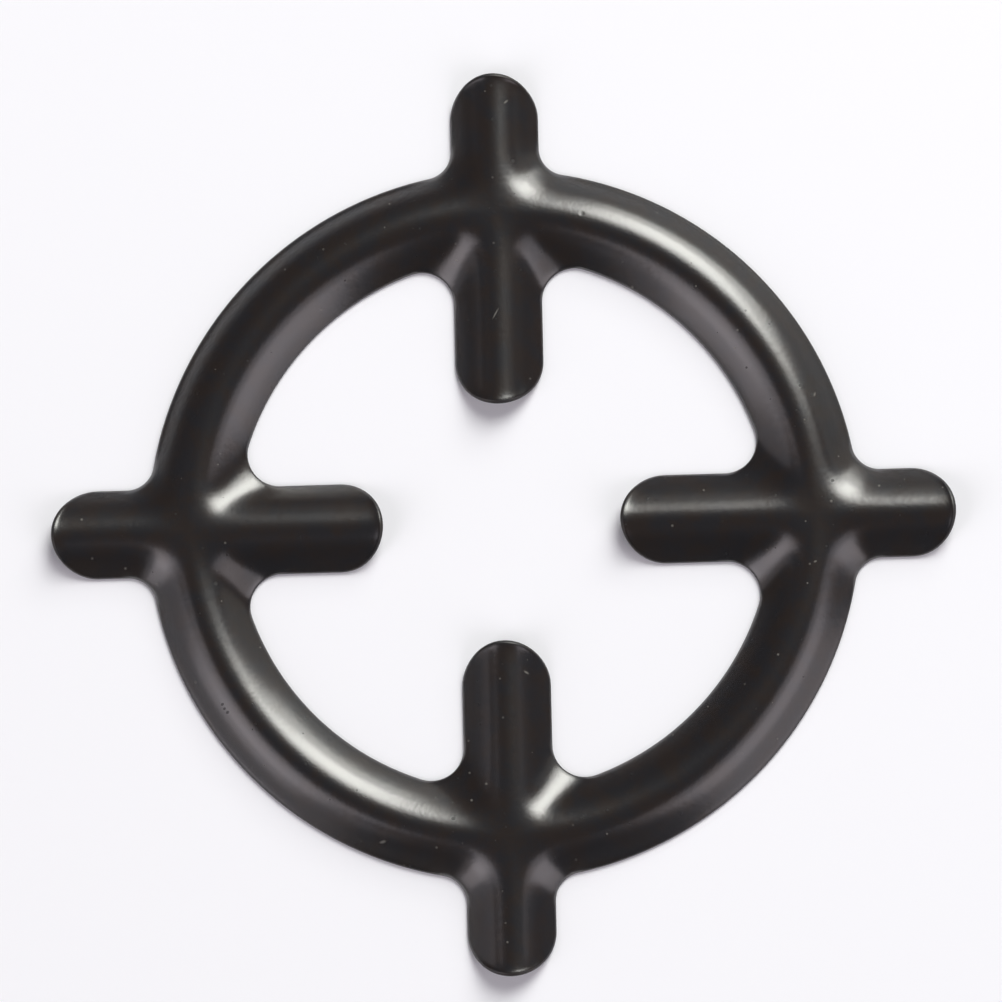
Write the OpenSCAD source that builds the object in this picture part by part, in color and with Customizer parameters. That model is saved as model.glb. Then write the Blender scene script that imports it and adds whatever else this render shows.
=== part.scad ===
// Stove reducer ring: a ring and four arms pressed from one steel sheet and
// enamelled. Ring and arms are arched strips, open underneath, that run into
// each other with soft valleys. The sheet keeps its thickness all over and its
// edges are full-round, apart from a narrow flat that the ring lies on at z = 0.
// The centre of the ring is on the z axis, and one arm points along +X.

/* [Ring] */
// Diameter of the ring along the top of its arch
ring_d = 100.2; // [84:0.2:109]
// Width of the ring, over both its edges
ring_w = 14.2; // [10:0.2:18]

/* [Arms] */
// Number of arms round the ring
arm_count = 4; // [3:1:6]
// Width of an arm, which is also the width of its full-round tips
arm_w = 14.2; // [10:0.2:18]
// Distance from the centre to the outer tip of an arm
arm_out = 72.5; // [69:0.5:90]
// Distance from the centre to the inner tip of an arm
arm_in = 19; // [12:0.5:26]

/* [Section] */
// Height of the pressing, from its foot to the top of the arch
rise = 4.6; // [3.8:0.1:5.8]
// Lean of the straight flanks, from the horizontal
flank_lean = 45.5; // [40:0.5:56]
// Thickness of the sheet with its enamel
sheet = 0.9; // [0.5:0.1:1.5]
// Width of the flat along the round edges, on which the ring lies
foot_w = 0.2; // [0.1:0.05:0.4]

/* [Blends] */
// Outline radius where an arm leaves the ring on the outside
fillet_out = 4.5; // [2:0.1:9]
// Outline radius where an arm leaves the ring on the inside
fillet_in = 5.2; // [2:0.1:9]
// Half length, along the ring, of the level patch where an arm crosses it
patch_half = 5.4; // [2:0.2:9]

/* [Hidden] */

ring_r = ring_d / 2;
half_sector = 180 / arm_count;

// The shape is worked out for the middle of the sheet, whose rim is the centre
// line of the round edges, and the sheet is then thickened to both sides of it
edge_r = sheet / 2;
foot_turn = asin(foot_w / sheet);
rim_z = edge_r * cos(foot_turn);
mid_rise = rise - edge_r - rim_z;
ring_half = ring_w / 2 - edge_r;
arm_half = arm_w / 2 - edge_r;

// Mesh steps: down the arch, down the flank, along the ring and round a blend
arch_steps = 4;
flank_steps = 4;
ring_steps = 8;
blend_steps = 5;
levels = arch_steps + flank_steps;

// Points on half an arm's share of one contour, and on one whole contour
half_points = ring_steps + blend_steps + 2;
sector_points = 2 * half_points - 1;
contour_points = arm_count * sector_points;

OUTWARD = 1;
INWARD = -1;
ways = [OUTWARD, INWARD];

function polar(r, a) = [r * cos(a), r * sin(a)];
function between(a, b, share) = a + (b - a) * share;
function mirrored(p) = [p[0], -p[1]];
function turned(p, a) = [p[0] * cos(a) - p[1] * sin(a), p[0] * sin(a) + p[1] * cos(a)];
function unit(v) = v / norm(v);

// The section is an arc over the crown that runs into two straight flanks.
// Heights in it are counted from the rim.
function crown_r(half_w) = (half_w * tan(flank_lean) - mid_rise) / (1 / cos(flank_lean) - 1);

function spread(z, half_w) =
    let (r = crown_r(half_w), drop = max(0, mid_rise - z))
    drop < r * (1 - cos(flank_lean))
        ? sqrt(r * r - (r - drop) * (r - drop))
        : half_w - z / tan(flank_lean);

// Heights of the contours: even turns of the arc, then closer towards the rim
function level_z(k) =
    let (
        r = crown_r(ring_half),
        flank_top = mid_rise - r * (1 - cos(flank_lean)),
        left = (levels - k) / flank_steps
    )
    k <= arch_steps
        ? mid_rise - r * (1 - cos(flank_lean * k / arch_steps))
        : flank_top * left * left;

// Radius of the valley between ring and arm: at the crown it closes round the
// level patch, and down at the rim it is the outline radius
function patch_r(way) = patch_half / (1 - way * patch_half / ring_r);
function rim_fillet(way) = (way == OUTWARD ? fillet_out : fillet_in) + edge_r;
function valley_r(way, z) = between(rim_fillet(way), patch_r(way), z / mid_rise);

// Where the round tip ends an arm, at a given distance from its centre line
function tip_x(way, v) =
    let (reach = sqrt(max(0, arm_half * arm_half - v * v)) - arm_half - edge_r)
    way == OUTWARD ? arm_out + reach : arm_in - reach;

// Half of one contour, from midway between two arms to the tip of an arm
function half_contour(way, z) =
    let (
        side_r = ring_r + way * spread(z, ring_half),
        side_v = spread(z, arm_half),
        blend_r = valley_r(way, z),
        blend_y = side_v + blend_r,
        blend_x = sqrt(pow(side_r + way * blend_r, 2) - blend_y * blend_y),
        meet = atan2(blend_y, blend_x),
        first = way == OUTWARD ? 180 + meet : meet,
        last = way == OUTWARD ? 270 : -90
    )
    concat(
        [for (i = [0 : ring_steps - 1]) polar(side_r, between(half_sector, meet, i / ring_steps))],
        [for (i = [0 : blend_steps - 1])
            [blend_x, blend_y] + polar(blend_r, between(first, last, i / blend_steps))],
        [[blend_x, side_v], [tip_x(way, side_v), side_v]]
    );

// A whole contour, anticlockwise: each arm's near half, then its far half
function contour(way, z) =
    let (half = half_contour(way, z))
    [for (arm = [0 : arm_count - 1], i = [0 : sector_points - 1])
        let (
            p = i < half_points ? mirrored(half[i]) : half[sector_points - i],
            q = turned(p, 2 * half_sector * arm)
        )
        [q[0], q[1], z + rim_z]];

middle = [for (way = ways) [for (k = [0 : levels]) contour(way, level_z(k))]];

function mid(w, k, i) = middle[w][k][(i + contour_points) % contour_points];
function ends_arm(i) = i % sector_points == half_points - 1;
function starts_arm(i) = i % sector_points == half_points;

// Upright unit normal of the middle surface. The crown is level.
function normal(w, k, i) =
    let (
        along = mid(w, k, ends_arm(i) ? i : i + 1) - mid(w, k, starts_arm(i) ? i : i - 1),
        down = mid(w, min(k + 1, levels), i) - mid(w, max(k - 1, 0), i),
        n = cross(along, down)
    )
    k == 0 ? [0, 0, 1] : unit(n[2] < 0 ? -n : n);

normals = [for (w = [0, 1]) [for (k = [0 : levels]) [for (i = [0 : contour_points - 1]) normal(w, k, i)]]];

// The rim, as [level, point] pairs: across each tip, then along the foot
tip_steps = 2 * levels + 1;
rim_sector = tip_steps + sector_points - 2;
rim_points = arm_count * rim_sector;
rim = [for (arm = [0 : arm_count - 1], n = [0 : rim_sector - 1])
    let (tip = arm * sector_points + half_points - 1)
    n <= levels ? [levels - n, tip]
        : n < tip_steps ? [n - levels, tip + 1]
        : [levels, (tip + 2 + n - tip_steps) % contour_points]];

function rim_mid(w, b) = let (p = rim[(b + rim_points) % rim_points]) mid(w, p[0], p[1]);

// Turns from the top skin's normal round the edge: the last two are the corners
// of the foot flat
function edge_turns(lean) =
    let (flat = 180 - foot_turn - max(lean, 2 * foot_turn))
    [45, 90, flat, flat + 2 * foot_turn];
edge_rows = len(edge_turns(0));

function edge_point(w, b, row) =
    let (
        n = normals[w][rim[b][0]][rim[b][1]],
        out = ways[w] * unit(cross(rim_mid(w, b + 1) - rim_mid(w, b - 1), n)),
        turn = edge_turns(acos(n[2]))[row],
        p = rim_mid(w, b) + edge_r * (cos(turn) * n + sin(turn) * out)
    )
    [p[0], p[1], max(0, p[2])];

// Points are stored as the two skins, then the patch centres, then the edges
sides = [1, -1];
skin_xyz = [for (side = sides, w = [0, 1], k = [0 : levels], i = [0 : contour_points - 1])
    mid(w, k, i) + side * edge_r * normals[w][k][i]];
centre_xyz = [for (side = sides, arm = [0 : arm_count - 1])
    let (p = polar(ring_r, 2 * half_sector * arm)) [p[0], p[1], rim_z + mid_rise + side * edge_r]];
edge_xyz = [for (w = [0, 1], b = [0 : rim_points - 1], row = [0 : edge_rows - 1]) edge_point(w, b, row)];

function at(skin, w, k, i) =
    ((skin * len(ways) + w) * (levels + 1) + k) * contour_points + i % contour_points;
function centre(skin, arm) = len(skin_xyz) + skin * arm_count + arm;
function edge_at(w, b, row) =
    let (p = rim[b % rim_points])
    row == 0 ? at(0, w, p[0], p[1])
        : row > edge_rows ? at(1, w, p[0], p[1])
        : len(skin_xyz) + len(centre_xyz) + (w * rim_points + b % rim_points) * edge_rows + row - 1;

// A four-cornered facet as two triangles, turned over where asked
function facet(a, b, c, d, over) = over ? [[c, b, a], [d, c, a]] : [[a, b, c], [a, c, d]];

skin_faces = [for (skin = [0, 1], w = [0, 1], k = [0 : levels - 1], i = [0 : contour_points - 1])
    if (!ends_arm(i))
        each facet(
            at(skin, w, k, i), at(skin, w, k, i + 1), at(skin, w, k + 1, i + 1), at(skin, w, k + 1, i),
            skin != w
        )];

edge_faces = [for (w = [0, 1], b = [0 : rim_points - 1], row = [0 : edge_rows])
    each facet(
        edge_at(w, b, row), edge_at(w, b + 1, row), edge_at(w, b + 1, row + 1), edge_at(w, b, row + 1),
        w == 1
    )];

patch_faces = [for (skin = [0, 1], w = [0, 1], arm = [0 : arm_count - 1],
                    n = [0 : 2 * blend_steps - 1])
    let (
        step = n < blend_steps ? ring_steps + n : half_points + n - blend_steps + 1,
        i = arm * sector_points + step,
        face = [centre(skin, arm), at(skin, w, 0, i), at(skin, w, 0, i + 1)]
    )
    skin == w ? [face[2], face[1], face[0]] : face];

// The pressed sheet: arched ring and arms with open undersides and round tips
module reducer_ring() {
    color("#2a2725")
        polyhedron(
            points = concat(skin_xyz, centre_xyz, edge_xyz),
            faces = concat(skin_faces, edge_faces, patch_faces),
            convexity = 6
        );
}

reducer_ring();
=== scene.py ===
# Looks for a stove reducer ring: a ring with four arms, pressed from one steel
# sheet and enamelled black, lying on a pale studio floor. Lengths are in metres.

import math

import bmesh
import bpy
import numpy as np
from mathutils import Matrix, Vector


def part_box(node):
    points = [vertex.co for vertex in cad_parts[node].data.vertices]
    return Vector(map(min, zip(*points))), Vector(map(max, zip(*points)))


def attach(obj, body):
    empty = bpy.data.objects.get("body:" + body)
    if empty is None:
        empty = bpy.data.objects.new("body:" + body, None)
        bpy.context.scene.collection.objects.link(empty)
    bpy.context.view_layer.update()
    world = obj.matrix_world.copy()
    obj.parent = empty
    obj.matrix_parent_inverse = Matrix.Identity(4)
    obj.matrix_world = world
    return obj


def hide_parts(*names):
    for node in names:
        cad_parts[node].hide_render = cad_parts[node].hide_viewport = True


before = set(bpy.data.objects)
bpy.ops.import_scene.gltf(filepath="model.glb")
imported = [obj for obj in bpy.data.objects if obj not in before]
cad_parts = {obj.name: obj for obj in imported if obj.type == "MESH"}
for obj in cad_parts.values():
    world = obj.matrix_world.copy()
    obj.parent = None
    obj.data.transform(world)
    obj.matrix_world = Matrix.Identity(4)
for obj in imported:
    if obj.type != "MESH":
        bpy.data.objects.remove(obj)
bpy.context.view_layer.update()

bl_info = {
    "name": "Stove Reducer Ring",
    "version": (1, 0, 0),
    "blender": (4, 5, 0),
    "location": "View3D > Sidebar > Reducer Ring",
    "description": "Builds an enamelled stove reducer ring and its studio stage",
    "category": "Add Mesh",
}

NODE = "reducer_ring"
BODY = "root"
EDGE_ATTRIBUTE = "cut_edge"
MM = 0.001

ARM_COUNT = 4
HALF_SECTOR = math.pi / ARM_COUNT
OUTWARD = 1
INWARD = -1

# Mesh steps: down the arch, down the flank, along half a sector of the ring,
# round a blend, along an arm and round the sheet's edge
ARCH_STEPS = 12
FLANK_STEPS = 7
RING_STEPS = 26
BLEND_STEPS = 14
ARM_STEPS = 18
EDGE_STEPS = 8
LEVELS = ARCH_STEPS + FLANK_STEPS
# Rounds of smoothing that let arches, flanks and valleys run softly into each
# other, as drawn sheet does. The rim stays, so the tips curl up by a hair.
SOFTENING = 30
CURL_REACH = 4.0 * MM


def reach(azimuth):
    """Nearest and farthest distance of the CAD ring from its axis, near one azimuth."""
    window = math.radians(1.5)
    points = np.array([v.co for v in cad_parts[NODE].data.vertices])
    near = np.abs(np.arctan2(points[:, 1], points[:, 0]) - azimuth) < window
    radii = np.hypot(points[near, 0], points[near, 1])
    return float(radii.min()), float(radii.max())


BAND = reach(HALF_SECTOR)
ARM = reach(0)
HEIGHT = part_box(NODE)[1].z


class RingSizes(bpy.types.PropertyGroup):
    """Sizes of the pressed and enamelled sheet."""

    ring_inner: bpy.props.FloatProperty(
        name="Ring Inner Radius", description="From the axis to the ring's inner edge",
        default=BAND[0], min=0.02, max=0.1, subtype="DISTANCE", unit="LENGTH", precision=4)
    ring_outer: bpy.props.FloatProperty(
        name="Ring Outer Radius", description="From the axis to the ring's outer edge",
        default=BAND[1], min=0.03, max=0.12, subtype="DISTANCE", unit="LENGTH", precision=4)
    arm_inner: bpy.props.FloatProperty(
        name="Arm Inner Reach", description="From the axis to an arm's inner tip",
        default=ARM[0], min=0.005, max=0.05, subtype="DISTANCE", unit="LENGTH", precision=4)
    arm_outer: bpy.props.FloatProperty(
        name="Arm Outer Reach", description="From the axis to an arm's outer tip",
        default=ARM[1], min=0.05, max=0.15, subtype="DISTANCE", unit="LENGTH", precision=4)
    height: bpy.props.FloatProperty(
        name="Height", description="From the floor to the top of the arch",
        default=HEIGHT, min=0.002, max=0.01, subtype="DISTANCE", unit="LENGTH", precision=4)
    sheet: bpy.props.FloatProperty(
        name="Sheet", description="Thickness of the steel with its enamel",
        default=0.9 * MM, min=0.0005, max=0.0015, subtype="DISTANCE", unit="LENGTH", precision=5)
    outer_lean: bpy.props.FloatProperty(
        name="Outer Lean", description="Slope of the flanks that look outward, from the floor",
        default=math.radians(40.9), min=0.6, max=1.0, subtype="ANGLE", unit="ROTATION")
    inner_lean: bpy.props.FloatProperty(
        name="Inner Lean", description="Slope of the flanks that look inward, from the floor",
        default=math.radians(40.3), min=0.6, max=1.0, subtype="ANGLE", unit="ROTATION")
    crest_offset: bpy.props.FloatProperty(
        name="Crest Offset", description="From the middle of the ring's width out to its crest",
        default=0.25 * MM, min=0.0, max=0.001, subtype="DISTANCE", unit="LENGTH", precision=5)
    tip_curl: bpy.props.FloatProperty(
        name="Tip Curl", description="How far the arms' round tips curl up above the crest",
        default=0.1 * MM, min=0.0, max=0.0005, subtype="DISTANCE", unit="LENGTH", precision=5)
    fillet_outer: bpy.props.FloatProperty(
        name="Outer Fillet", description="Outline radius between arm and ring, outside",
        default=4.5 * MM, min=0.001, max=0.01, subtype="DISTANCE", unit="LENGTH", precision=4)
    fillet_inner: bpy.props.FloatProperty(
        name="Inner Fillet", description="Outline radius between arm and ring, inside",
        default=5.2 * MM, min=0.001, max=0.01, subtype="DISTANCE", unit="LENGTH", precision=4)
    inner_waist: bpy.props.FloatProperty(
        name="Inner Waist", description="How much tighter the inner valleys turn halfway up",
        default=1.4 * MM, min=0.0, max=0.003, subtype="DISTANCE", unit="LENGTH", precision=4)
    patch_half: bpy.props.FloatProperty(
        name="Level Patch", description="Half length of the level patch where an arm crosses",
        default=5.4 * MM, min=0.001, max=0.01, subtype="DISTANCE", unit="LENGTH", precision=4)


class EnamelLook(bpy.types.PropertyGroup):
    """Colours and gloss of the black enamel."""

    black: bpy.props.StringProperty(
        name="Black", description="Main colour of the enamel, as an sRGB hex value",
        default="#1f1714")
    cool_black: bpy.props.StringProperty(
        name="Cool Black", description="Colour of the cloudier parts, as an sRGB hex value",
        default="#18171b")
    # Also colours the painted highlight on one blister
    dust_and_highlight: bpy.props.StringProperty(
        name="Dust", description="Colour of the specks on the enamel, as an sRGB hex value",
        default="#8e8c86")
    # Also colours the painted shade in that blister's middle
    pit_and_shade: bpy.props.StringProperty(
        name="Pit", description="Colour of the pinholes in the enamel, as an sRGB hex value",
        default="#0c0b0b")
    gloss_roughness: bpy.props.FloatProperty(
        name="Roughness", description="Roughness of the fired surface",
        default=0.252, min=0.0, max=1.0, subtype="FACTOR")


class StageLook(bpy.types.PropertyGroup):
    """Colours of the studio."""

    floor: bpy.props.StringProperty(
        name="Floor", description="Colour of the floor, as an sRGB hex value",
        default="#f7f8fe")
    key_light: bpy.props.StringProperty(
        name="Key Light", description="Colour of the big soft lamp, as an sRGB hex value",
        default="#fffff9")
    fill_light: bpy.props.StringProperty(
        name="Fill Light", description="Colour of the dim lamps, as an sRGB hex value",
        default="#fff6fc")


def polar(radius, angle):
    """A point in the plane of the floor."""
    return np.array([radius * math.cos(angle), radius * math.sin(angle)])


def between(start, end, share):
    """The value a share of the way from start to end."""
    return start + (end - start) * share


def section(half_width, rise, lean):
    """The middle of the sheet across half a strip, from the crown to the rim.

    Each pair is the spread from the centre line and the height above the rim:
    an arc over the crown, then a straight flank with closer steps to the rim.
    """
    arc_r = (half_width * math.tan(lean) - rise) / (1 / math.cos(lean) - 1)
    turns = [lean * k / ARCH_STEPS for k in range(ARCH_STEPS + 1)]
    arch = [(arc_r * math.sin(t), rise - arc_r * (1 - math.cos(t))) for t in turns]
    flank_top = arch[-1][1]
    heights = [flank_top * (1 - k / FLANK_STEPS) ** 2 for k in range(1, FLANK_STEPS + 1)]
    return arch + [(half_width - z / math.tan(lean), z) for z in heights]


def half_contour(sizes, way, spread, share_up):
    """One contour's plan from midway between two arms to the tip of an arm."""
    edge = sizes.sheet / 2
    middle_r = (sizes.ring_outer + sizes.ring_inner) / 2
    half_width = (sizes.ring_outer - sizes.ring_inner) / 2 - edge
    patch_r = sizes.patch_half / (1 - way * sizes.patch_half / (middle_r + sizes.crest_offset))
    fillet = sizes.fillet_outer if way == OUTWARD else sizes.fillet_inner
    blend_r = between(fillet + edge, patch_r, share_up)
    if way == INWARD:
        blend_r -= 4 * sizes.inner_waist * share_up * (1 - share_up)
    side_r = middle_r + sizes.crest_offset * share_up**3 + way * spread
    blend_y = spread + blend_r
    blend_x = math.sqrt((side_r + way * blend_r) ** 2 - blend_y**2)
    meet = math.atan2(blend_y, blend_x)
    first = math.pi + meet if way == OUTWARD else meet
    last = 1.5 * math.pi if way == OUTWARD else -0.5 * math.pi
    tip_depth = math.sqrt(max(0.0, half_width**2 - spread**2)) - half_width - edge
    tip_x = sizes.arm_outer + tip_depth if way == OUTWARD else sizes.arm_inner - tip_depth
    ring_part = [polar(side_r, between(HALF_SECTOR, meet, i / RING_STEPS)) for i in range(RING_STEPS)]
    blend_part = [
        np.array([blend_x, blend_y]) + polar(blend_r, between(first, last, i / BLEND_STEPS))
        for i in range(BLEND_STEPS)
    ]
    shares = [1 - (1 - i / ARM_STEPS) ** 2 for i in range(ARM_STEPS + 1)]
    arm_part = [np.array([between(blend_x, tip_x, s), spread]) for s in shares]
    return ring_part + blend_part + arm_part


def tip_lift(sizes, way, half, share_up):
    """How far the curl lifts each point of half a contour near the arm's tip."""
    tip = sizes.arm_outer if way == OUTWARD else sizes.arm_inner
    from_tip = np.abs(tip - half[:, 0])
    nearness = np.clip(1 - from_tip / CURL_REACH, 0, 1)
    return sizes.tip_curl * share_up * nearness**2


def contour(sizes, way, spread, height, share_up):
    """A whole contour, anticlockwise: each arm's near half, then its far half."""
    half = np.array(half_contour(sizes, way, spread, share_up))
    lift = tip_lift(sizes, way, half, share_up)
    sector = np.vstack([half * [1, -1], half[:0:-1]])
    turned = []
    for arm in range(ARM_COUNT):
        angle = 2 * HALF_SECTOR * arm
        cos, sin = math.cos(angle), math.sin(angle)
        turned.append(sector @ np.array([[cos, sin], [-sin, cos]]))
    heights = height + np.tile(np.concatenate([lift, lift[:0:-1]]), ARM_COUNT)
    return np.column_stack([np.vstack(turned), heights])


def middle_surface(sizes):
    """The middle surface of the sheet as a bmesh of quads, with level patches at the crossings."""
    edge = sizes.sheet / 2
    rise = sizes.height - sizes.sheet - sizes.tip_curl
    half_width = (sizes.ring_outer - sizes.ring_inner) / 2 - edge
    half_points = RING_STEPS + BLEND_STEPS + ARM_STEPS + 1
    sector_points = 2 * half_points - 1
    count = ARM_COUNT * sector_points
    surface = bmesh.new()
    for way, lean in ((OUTWARD, sizes.outer_lean), (INWARD, sizes.inner_lean)):
        rows = []
        for spread, height in section(half_width, rise, lean):
            points = contour(sizes, way, spread, height + edge, height / rise)
            rows.append([surface.verts.new(p) for p in points])
        for upper, lower in zip(rows, rows[1:]):
            for i in range(count):
                if i % sector_points != half_points - 1:
                    j = (i + 1) % count
                    surface.faces.new((upper[i], upper[j], lower[j], lower[i]))
        crest_r = (sizes.ring_outer + sizes.ring_inner) / 2 + sizes.crest_offset
        for arm in range(ARM_COUNT):
            x, y = polar(crest_r, 2 * HALF_SECTOR * arm)
            centre = surface.verts.new((x, y, rise + edge))
            start = arm * sector_points
            near = range(start + RING_STEPS, start + RING_STEPS + BLEND_STEPS)
            far_start = start + sector_points - RING_STEPS - BLEND_STEPS
            for i in [*near, *range(far_start, far_start + BLEND_STEPS)]:
                surface.faces.new((centre, rows[0][i], rows[0][(i + 1) % count]))
    bmesh.ops.remove_doubles(surface, verts=surface.verts, dist=0.001 * MM)
    bmesh.ops.dissolve_degenerate(surface, edges=surface.edges, dist=0.0005 * MM)
    within = [v for v in surface.verts if not v.is_boundary]
    for _ in range(SOFTENING):
        bmesh.ops.smooth_vert(
            surface, verts=within, factor=0.5, use_axis_x=True, use_axis_y=True, use_axis_z=True)
    surface.normal_update()
    for face in surface.faces:
        if face.normal.z < 0:
            face.normal_flip()
    surface.normal_update()
    surface.verts.index_update()
    return surface


def edge_direction(vert):
    """The direction in the sheet, square to its rim, that points out of it."""
    rim = [e for e in vert.link_edges if e.is_boundary]
    along = rim[0].other_vert(vert).co - rim[1].other_vert(vert).co
    out = along.cross(vert.normal).normalized()
    inner = sum((f.calc_center_median() for f in vert.link_faces), Vector()) / len(vert.link_faces)
    return out if out.dot(vert.co - inner) > 0 else -out


def thicken(surface, thickness):
    """The sheet on both sides of its middle surface, with full-round edges.

    Gives its points, its faces, and for each point whether it is on an edge.
    """
    half = thickness / 2
    count = len(surface.verts)
    points = [v.co + v.normal * half for v in surface.verts]
    points += [v.co - v.normal * half for v in surface.verts]
    faces = [[v.index for v in f.verts] for f in surface.faces]
    faces += [[v.index + count for v in reversed(f.verts)] for f in surface.faces]
    columns = {}
    for vert in surface.verts:
        if vert.is_boundary:
            out = edge_direction(vert)
            first = len(points)
            for step in range(1, EDGE_STEPS):
                turn = math.pi * step / EDGE_STEPS
                points.append(vert.co + half * (math.cos(turn) * vert.normal + math.sin(turn) * out))
            columns[vert.index] = [vert.index, *range(first, len(points)), vert.index + count]
    for edge in surface.edges:
        if edge.is_boundary:
            loop = edge.link_loops[0]
            start, end = columns[loop.vert.index], columns[loop.link_loop_next.vert.index]
            for row in range(EDGE_STEPS):
                faces.append([start[row], start[row + 1], end[row + 1], end[row]])
    on_edge = [float(i >= 2 * count) for i in range(len(points))]
    return [(p.x, p.y, max(0.0, p.z)) for p in points], faces, on_edge


def linear(hex_colour):
    """An sRGB hex value as linear red, green, blue and alpha."""
    values = [int(hex_colour[i:i + 2], 16) / 255 for i in (1, 3, 5)]
    return [v / 12.92 if v <= 0.04045 else ((v + 0.055) / 1.055) ** 2.4 for v in values] + [1.0]


def per(millimetres):
    """The Scale that gives a texture one cell in that many millimetres."""
    return 1 / (millimetres * MM)


def add_node(tree, kind, settings=None, **links):
    """Adds a node with its settings, and values or links for its inputs by name."""
    node = tree.nodes.new(kind)
    for name, value in (settings or {}).items():
        setattr(node, name, value)
    for name, value in links.items():
        key = int(name[1:]) if name[0] == "i" and name[1:].isdigit() else name.replace("_", " ")
        if isinstance(value, bpy.types.NodeSocket):
            tree.links.new(value, node.inputs[key])
        else:
            node.inputs[key].default_value = value
    return node


def new_material(name):
    """An empty node material with its output, and its tree."""
    material = bpy.data.materials.new(name)
    material.use_nodes = True
    material.node_tree.nodes.clear()
    return material, material.node_tree


def soft_inside(tree, distance, edge, core):
    """1 where a distance is below core, 0 beyond edge, and soft between them."""
    return add_node(
        tree, "ShaderNodeMapRange", Value=distance, From_Min=edge, From_Max=core).outputs["Result"]


def speckle(tree, place, spacing, radius, share):
    """Round specks scattered over a grid of cells, on that share of them, in millimetres."""
    cells = add_node(
        tree, "ShaderNodeTexVoronoi", {"voronoi_dimensions": "2D"}, Vector=place, Scale=per(spacing))
    chance = add_node(tree, "ShaderNodeSeparateColor", Color=cells.outputs["Color"])
    size = add_node(
        tree, "ShaderNodeMapRange", Value=chance.outputs["Red"],
        From_Min=1 - share, To_Min=NO_SPECK, To_Max=radius / spacing)
    away = add_node(
        tree, "ShaderNodeMath", {"operation": "DIVIDE"},
        i0=cells.outputs["Distance"], i1=size.outputs["Result"])
    strength = add_node(
        tree, "ShaderNodeMapRange", Value=chance.outputs["Green"], To_Min=0.25, To_Max=1.0)
    speck = soft_inside(tree, away.outputs[0], 1.0, 0.4)
    return add_node(
        tree, "ShaderNodeMath", {"operation": "MULTIPLY"},
        i0=speck, i1=strength.outputs["Result"]).outputs[0]


def oval(tree, place, mark):
    """One oval mark: x, y, turn in degrees, half length and half width, in millimetres."""
    x, y, turn, half_length, half_width = mark
    local = add_node(
        tree, "ShaderNodeMapping", {"vector_type": "TEXTURE"}, Vector=place,
        Location=(x * MM, y * MM, 0.0), Rotation=(0.0, 0.0, math.radians(turn)),
        Scale=(half_length * MM, half_width * MM, 1.0))
    away = add_node(
        tree, "ShaderNodeVectorMath", {"operation": "LENGTH"}, Vector=local.outputs["Vector"])
    return soft_inside(tree, away.outputs["Value"], 1.0, 0.3)


def strongest(tree, masks):
    """The highest of several masks, point by point."""
    top = masks[0]
    for mask in masks[1:]:
        top = add_node(tree, "ShaderNodeMath", {"operation": "MAXIMUM"}, i0=top, i1=mask).outputs[0]
    return top


def weighted(tree, value, weight, rest):
    """A value times its weight, added to the rest."""
    return add_node(
        tree, "ShaderNodeMath", {"operation": "MULTIPLY_ADD"}, i0=value, i1=weight, i2=rest).outputs[0]


def blend_colour(tree, share, start, end):
    """Two colours mixed by a share."""
    return add_node(
        tree, "ShaderNodeMix", {"data_type": "RGBA"}, i0=share, i6=start, i7=end).outputs[2]


# Specks and flaws on the enamel, each as x, y, turn, half length and half width.
# Bright ones are dust, lint and scratches, dark ones pinholes. One light arc and one dark spot near x
# 50, y 19 are a painted highlight and painted shade on a small blister.
NO_SPECK = 0.0001
COAT_WEIGHT = 0.92
COAT_LOSS = 0.85
DULL_ROUGHNESS = 0.55
DUST_AND_HIGHLIGHT_MARKS = (
    (-3.4, -41.8, 0, 0.3, 0.25),
    (-67.5, 2.3, 0, 0.28, 0.25),
    (52.7, 1.8, 0, 0.3, 0.25),
    (49.9, -7.8, 20, 0.35, 0.2),
    (-0.2, 33.5, -120, 1.2, 0.15),
    (2.2, 67.8, -141, 0.55, 0.22),
    # A painted highlight: the lit side of a small blister, drawn as a light arc
    (50.5, 19.1, 75, 0.5, 0.18),
    (-20.2, -50.6, -168, 0.7, 0.3),
    (3.4, -24.2, 146, 0.55, 0.22),
)
PIT_AND_SHADE_MARKS = (
    (-44.6, -29.3, 30, 0.36, 0.28),
    (-45.4, -28.0, 30, 0.34, 0.26),
    (-45.1, -28.7, 30, 0.3, 0.24),
    (-8.7, -47.2, 0, 0.4, 0.35),
    (53.0, 5.1, 0, 0.35, 0.3),
    (-46.1, -8.6, 0, 0.35, 0.35),
    (3.1, 58.2, 0, 0.35, 0.3),
    # Painted shade: the dark middle of the same blister
    (50.1, 19.0, 0, 0.4, 0.35),
    (48.3, 20.5, 0, 0.35, 0.3),
)
DIMPLE_MARK = (14.0, 49.3, 0, 0.55, 0.5)


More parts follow.
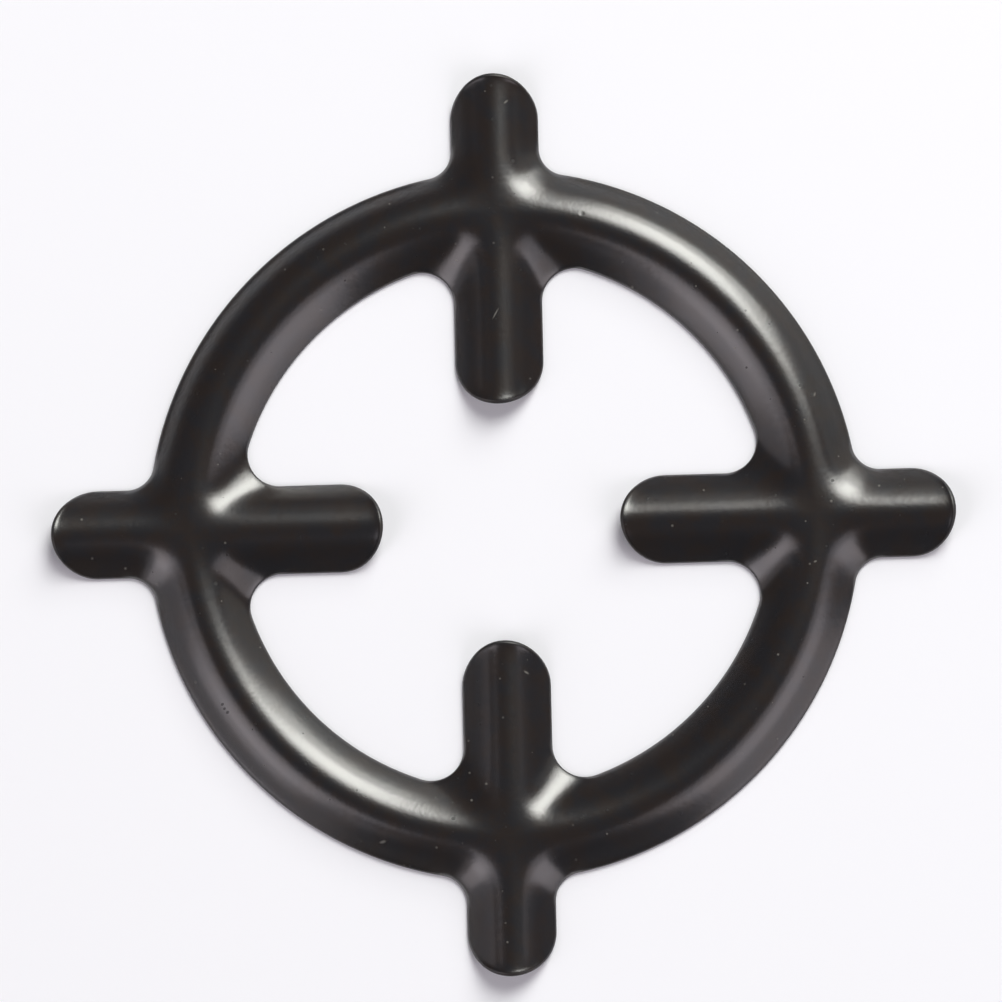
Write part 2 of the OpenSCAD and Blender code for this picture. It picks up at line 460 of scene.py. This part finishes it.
def black_enamel(look):
    """Fired black vitreous enamel on pressed steel.

    A glassy coat over a black ground: deep black where it faces the dark, broad
    soft-edged highlights with a faint orange peel, brownish and bluish clouds,
    and dust, scratches and pinholes, plus a painted highlight and painted shade on one small blister.
    """
    material, tree = new_material("fired_black_vitreous_enamel")
    place = add_node(tree, "ShaderNodeTexCoord").outputs["Object"]
    cloud = add_node(
        tree, "ShaderNodeTexNoise", Vector=place, Scale=per(4), Detail=4.0, Roughness=0.65)
    contrast = add_node(
        tree, "ShaderNodeMapRange", Value=cloud.outputs["Fac"], From_Min=0.4, From_Max=0.6)
    ground = blend_colour(
        tree, contrast.outputs["Result"], linear(look.black), linear(look.cool_black))
    fine_dust = speckle(tree, place, 5.5, 0.28, 0.5)
    fine_pits = speckle(tree, place, 4.0, 0.26, 0.35)
    dust_and_highlight = strongest(tree, [fine_dust] + [oval(tree, place, mark) for mark in DUST_AND_HIGHLIGHT_MARKS])
    pits_and_shade = strongest(tree, [fine_pits] + [oval(tree, place, mark) for mark in PIT_AND_SHADE_MARKS])
    # Pinholes and the blister's painted shade darken the colour
    pitted_and_shaded = blend_colour(tree, pits_and_shade, ground, linear(look.pit_and_shade))
    # Dust and the blister's painted highlight lighten the colour
    colour = blend_colour(tree, weighted(tree, dust_and_highlight, 0.5, 0.0), pitted_and_shaded, linear(look.dust_and_highlight))
    # The gloss fails at each speck and pinhole, at the blister's painted highlight and shade, and
    # where the enamel thins over the cut edge
    edge = add_node(tree, "ShaderNodeAttribute", {"attribute_name": EDGE_ATTRIBUTE}).outputs["Fac"]
    coat = weighted(tree, strongest(tree, [dust_and_highlight, pits_and_shade, edge]), -COAT_LOSS, COAT_WEIGHT)
    roughness = weighted(
        tree, strongest(tree, [pits_and_shade, edge]), DULL_ROUGHNESS - look.gloss_roughness,
        look.gloss_roughness)
    # Relief in millimetres: orange peel, coarse and fine, and one dimple
    coarse_peel = add_node(
        tree, "ShaderNodeTexNoise", Vector=place, Scale=per(1.5), Detail=2.0, Roughness=0.5)
    fine_peel = add_node(
        tree, "ShaderNodeTexNoise", Vector=place, Scale=per(0.5), Detail=2.0, Roughness=0.6)
    relief = weighted(tree, oval(tree, place, DIMPLE_MARK), -0.02, 0.0)
    relief = weighted(tree, fine_peel.outputs["Fac"], 0.01, relief)
    relief = weighted(tree, coarse_peel.outputs["Fac"], 0.013, relief)
    bump = add_node(tree, "ShaderNodeBump", Height=relief, Distance=MM, Strength=1.0)
    shader = add_node(
        tree, "ShaderNodeBsdfPrincipled",
        Base_Color=colour, Roughness=roughness, IOR=1.55,
        Coat_Weight=coat, Coat_Roughness=0.21, Coat_IOR=1.55,
        Normal=bump.outputs["Normal"], Coat_Normal=bump.outputs["Normal"])
    add_node(tree, "ShaderNodeOutputMaterial", Surface=shader.outputs["BSDF"])
    return material


def matt_paper(look):
    """White studio background paper: a plain matt sheet that keeps soft shadows."""
    material, tree = new_material("matt_studio_paper")
    place = add_node(tree, "ShaderNodeTexCoord").outputs["Object"]
    grain = add_node(tree, "ShaderNodeTexNoise", Vector=place, Scale=per(0.8), Detail=2.0)
    bump = add_node(
        tree, "ShaderNodeBump", Height=grain.outputs["Fac"], Distance=0.002 * MM, Strength=0.5)
    shader = add_node(
        tree, "ShaderNodeBsdfPrincipled", Base_Color=linear(look.floor), Roughness=0.95,
        Specular_IOR_Level=0.0, Normal=bump.outputs["Normal"])
    add_node(tree, "ShaderNodeOutputMaterial", Surface=shader.outputs["BSDF"])
    return material


class RING_OT_build(bpy.types.Operator):
    """Build the enamelled ring from the frame's sizes"""

    bl_idname = "reducer.build_ring"
    bl_label = "Build Ring"
    bl_options = {"REGISTER", "UNDO"}

    def execute(self, context):
        """Make the sheet with its round edges, and enamel it."""
        sizes = context.scene.ring_sizes
        surface = middle_surface(sizes)
        points, faces, on_edge = thicken(surface, sizes.sheet)
        surface.free()
        mesh = bpy.data.meshes.new("enamelled_ring")
        mesh.from_pydata(points, [], faces)
        mesh.shade_smooth()
        mesh.attributes.new(EDGE_ATTRIBUTE, "FLOAT", "POINT").data.foreach_set("value", on_edge)
        mesh.materials.append(black_enamel(context.scene.enamel_look))
        piece = bpy.data.objects.new("enamelled_ring", mesh)
        context.scene.collection.objects.link(piece)
        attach(piece, BODY)
        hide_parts(NODE)
        return {"FINISHED"}


# The camera looks down on the ring, a little from the lower right of the picture
CAMERA_TARGET = Vector((-0.25, 3.69, 0.44)) * MM
CAMERA_AZIMUTH = math.radians(-57.0)
CAMERA_ELEVATION = math.radians(83.27)
CAMERA_DISTANCE = 1.047
CAMERA_ROLL = math.radians(-1.28)
CAMERA_LENS = 234.5

# Lamps: name, azimuth and elevation in degrees, width, height, level of light
LAMP_DISTANCE = 2.6
LAMPS = (
    ("key_lamp", 64.8, 51.6, 19.1, 34.0, 6.2),
    ("key_diffuser", 60.5, 39.8, 32.0, 42.0, 4.4),
    ("key_wall", 53.3, 20.0, 70.5, 42.0, 0.32),
    ("left_lamp", 212.5, 43.0, 20.0, 30.0, 0.75),
    ("left_diffuser", 210.0, 39.5, 30.0, 53.0, 1.0),
    ("left_wall", 207.0, 25.5, 57.0, 42.0, 0.37),
    ("right_lamp", -35.2, 35.5, 37.0, 28.0, 0.78),
    ("right_wall", -34.8, 32.0, 42.0, 62.0, 0.81),
)
WORLD_GREY = 0.078
FLOOR_SIZE = 6.0


def direction(azimuth, elevation):
    """The unit vector towards an azimuth and an elevation, in radians."""
    flat = math.cos(elevation)
    return Vector((flat * math.cos(azimuth), flat * math.sin(azimuth), math.sin(elevation)))


def add_lamp(scene, name, azimuth, elevation, width, height, radiance, colour):
    """A soft lamp of that angular size, in degrees, and that brightness to the eye."""
    lamp = bpy.data.lights.new(name, "AREA")
    lamp.shape = "RECTANGLE"
    lamp.size = 2 * LAMP_DISTANCE * math.tan(math.radians(width / 2))
    lamp.size_y = 2 * LAMP_DISTANCE * math.tan(math.radians(height / 2))
    lamp.energy = radiance * math.pi * lamp.size * lamp.size_y
    lamp.color = linear(colour)[:3]
    obj = bpy.data.objects.new(name, lamp)
    towards = direction(math.radians(azimuth), math.radians(elevation))
    obj.location = towards * LAMP_DISTANCE
    obj.rotation_euler = towards.to_track_quat("Z", "Y").to_euler()
    scene.collection.objects.link(obj)


class RING_OT_stage(bpy.types.Operator):
    """Set the floor, the lamps and the camera"""

    bl_idname = "reducer.build_stage"
    bl_label = "Build Stage"
    bl_options = {"REGISTER", "UNDO"}

    def execute(self, context):
        """Make the floor, then the lamps and the world, then the camera."""
        scene = context.scene
        look = scene.stage_look
        mesh = bpy.data.meshes.new("floor")
        half = FLOOR_SIZE / 2
        corners = [(-half, -half, 0), (half, -half, 0), (half, half, 0), (-half, half, 0)]
        mesh.from_pydata(corners, [], [(0, 1, 2, 3)])
        mesh.materials.append(matt_paper(look))
        floor = bpy.data.objects.new("floor", mesh)
        scene.collection.objects.link(floor)
        for name, azimuth, elevation, width, height, radiance in LAMPS:
            colour = look.key_light if name.startswith("key") else look.fill_light
            add_lamp(scene, name, azimuth, elevation, width, height, radiance, colour)
        self.add_world(scene)
        self.add_camera(scene)
        scene.view_settings.view_transform = "Standard"
        return {"FINISHED"}

    def add_world(self, scene):
        """A dim grey room round the stage."""
        world = bpy.data.worlds.new("studio_room")
        world.use_nodes = True
        tree = world.node_tree
        tree.nodes.clear()
        back = add_node(
            tree, "ShaderNodeBackground", Color=(1.0, 1.0, 1.0, 1.0), Strength=WORLD_GREY)
        add_node(tree, "ShaderNodeOutputWorld", Surface=back.outputs["Background"])
        scene.world = world

    def add_camera(self, scene):
        """The photograph's view, from almost overhead."""
        lens = bpy.data.cameras.new("camera")
        lens.lens = CAMERA_LENS
        lens.clip_end = 20.0
        camera = bpy.data.objects.new("camera", lens)
        back = direction(CAMERA_AZIMUTH, CAMERA_ELEVATION)
        right = (-back).cross(Vector((0, 1, 0))).normalized()
        up = right.cross(-back)
        cos, sin = math.cos(CAMERA_ROLL), math.sin(CAMERA_ROLL)
        turned_right = cos * right + sin * up
        turned_up = cos * up - sin * right
        axes = Matrix((turned_right, turned_up, back)).transposed()
        place = Matrix.Translation(CAMERA_TARGET + back * CAMERA_DISTANCE)
        camera.matrix_world = place @ axes.to_4x4()
        scene.collection.objects.link(camera)
        scene.camera = camera


class RING_PT_panel(bpy.types.Panel):
    """Sizes, colours and builders of the reducer ring"""

    bl_idname = "RING_PT_panel"
    bl_label = "Reducer Ring"
    bl_space_type = "VIEW_3D"
    bl_region_type = "UI"
    bl_category = "Reducer Ring"

    def draw(self, context):
        """List every size and colour, then the builders."""
        for group in (context.scene.ring_sizes, context.scene.enamel_look, context.scene.stage_look):
            box = self.layout.box()
            for name in group.bl_rna.properties.keys():
                if name not in ("rna_type", "name"):
                    box.prop(group, name)
        self.layout.operator(RING_OT_build.bl_idname)
        self.layout.operator(RING_OT_stage.bl_idname)


CLASSES = (RingSizes, EnamelLook, StageLook, RING_OT_build, RING_OT_stage, RING_PT_panel)


def register():
    """Register the classes and hang the settings on the scene."""
    for cls in CLASSES:
        bpy.utils.register_class(cls)
    bpy.types.Scene.ring_sizes = bpy.props.PointerProperty(type=RingSizes)
    bpy.types.Scene.enamel_look = bpy.props.PointerProperty(type=EnamelLook)
    bpy.types.Scene.stage_look = bpy.props.PointerProperty(type=StageLook)


def unregister():
    """Take the settings off the scene and unregister the classes."""
    del bpy.types.Scene.ring_sizes
    del bpy.types.Scene.enamel_look
    del bpy.types.Scene.stage_look
    for cls in reversed(CLASSES):
        bpy.utils.unregister_class(cls)


def main():
    """Build everything."""
    register()
    bpy.ops.reducer.build_ring()
    bpy.ops.reducer.build_stage()


if __name__ == "__main__":
    main()
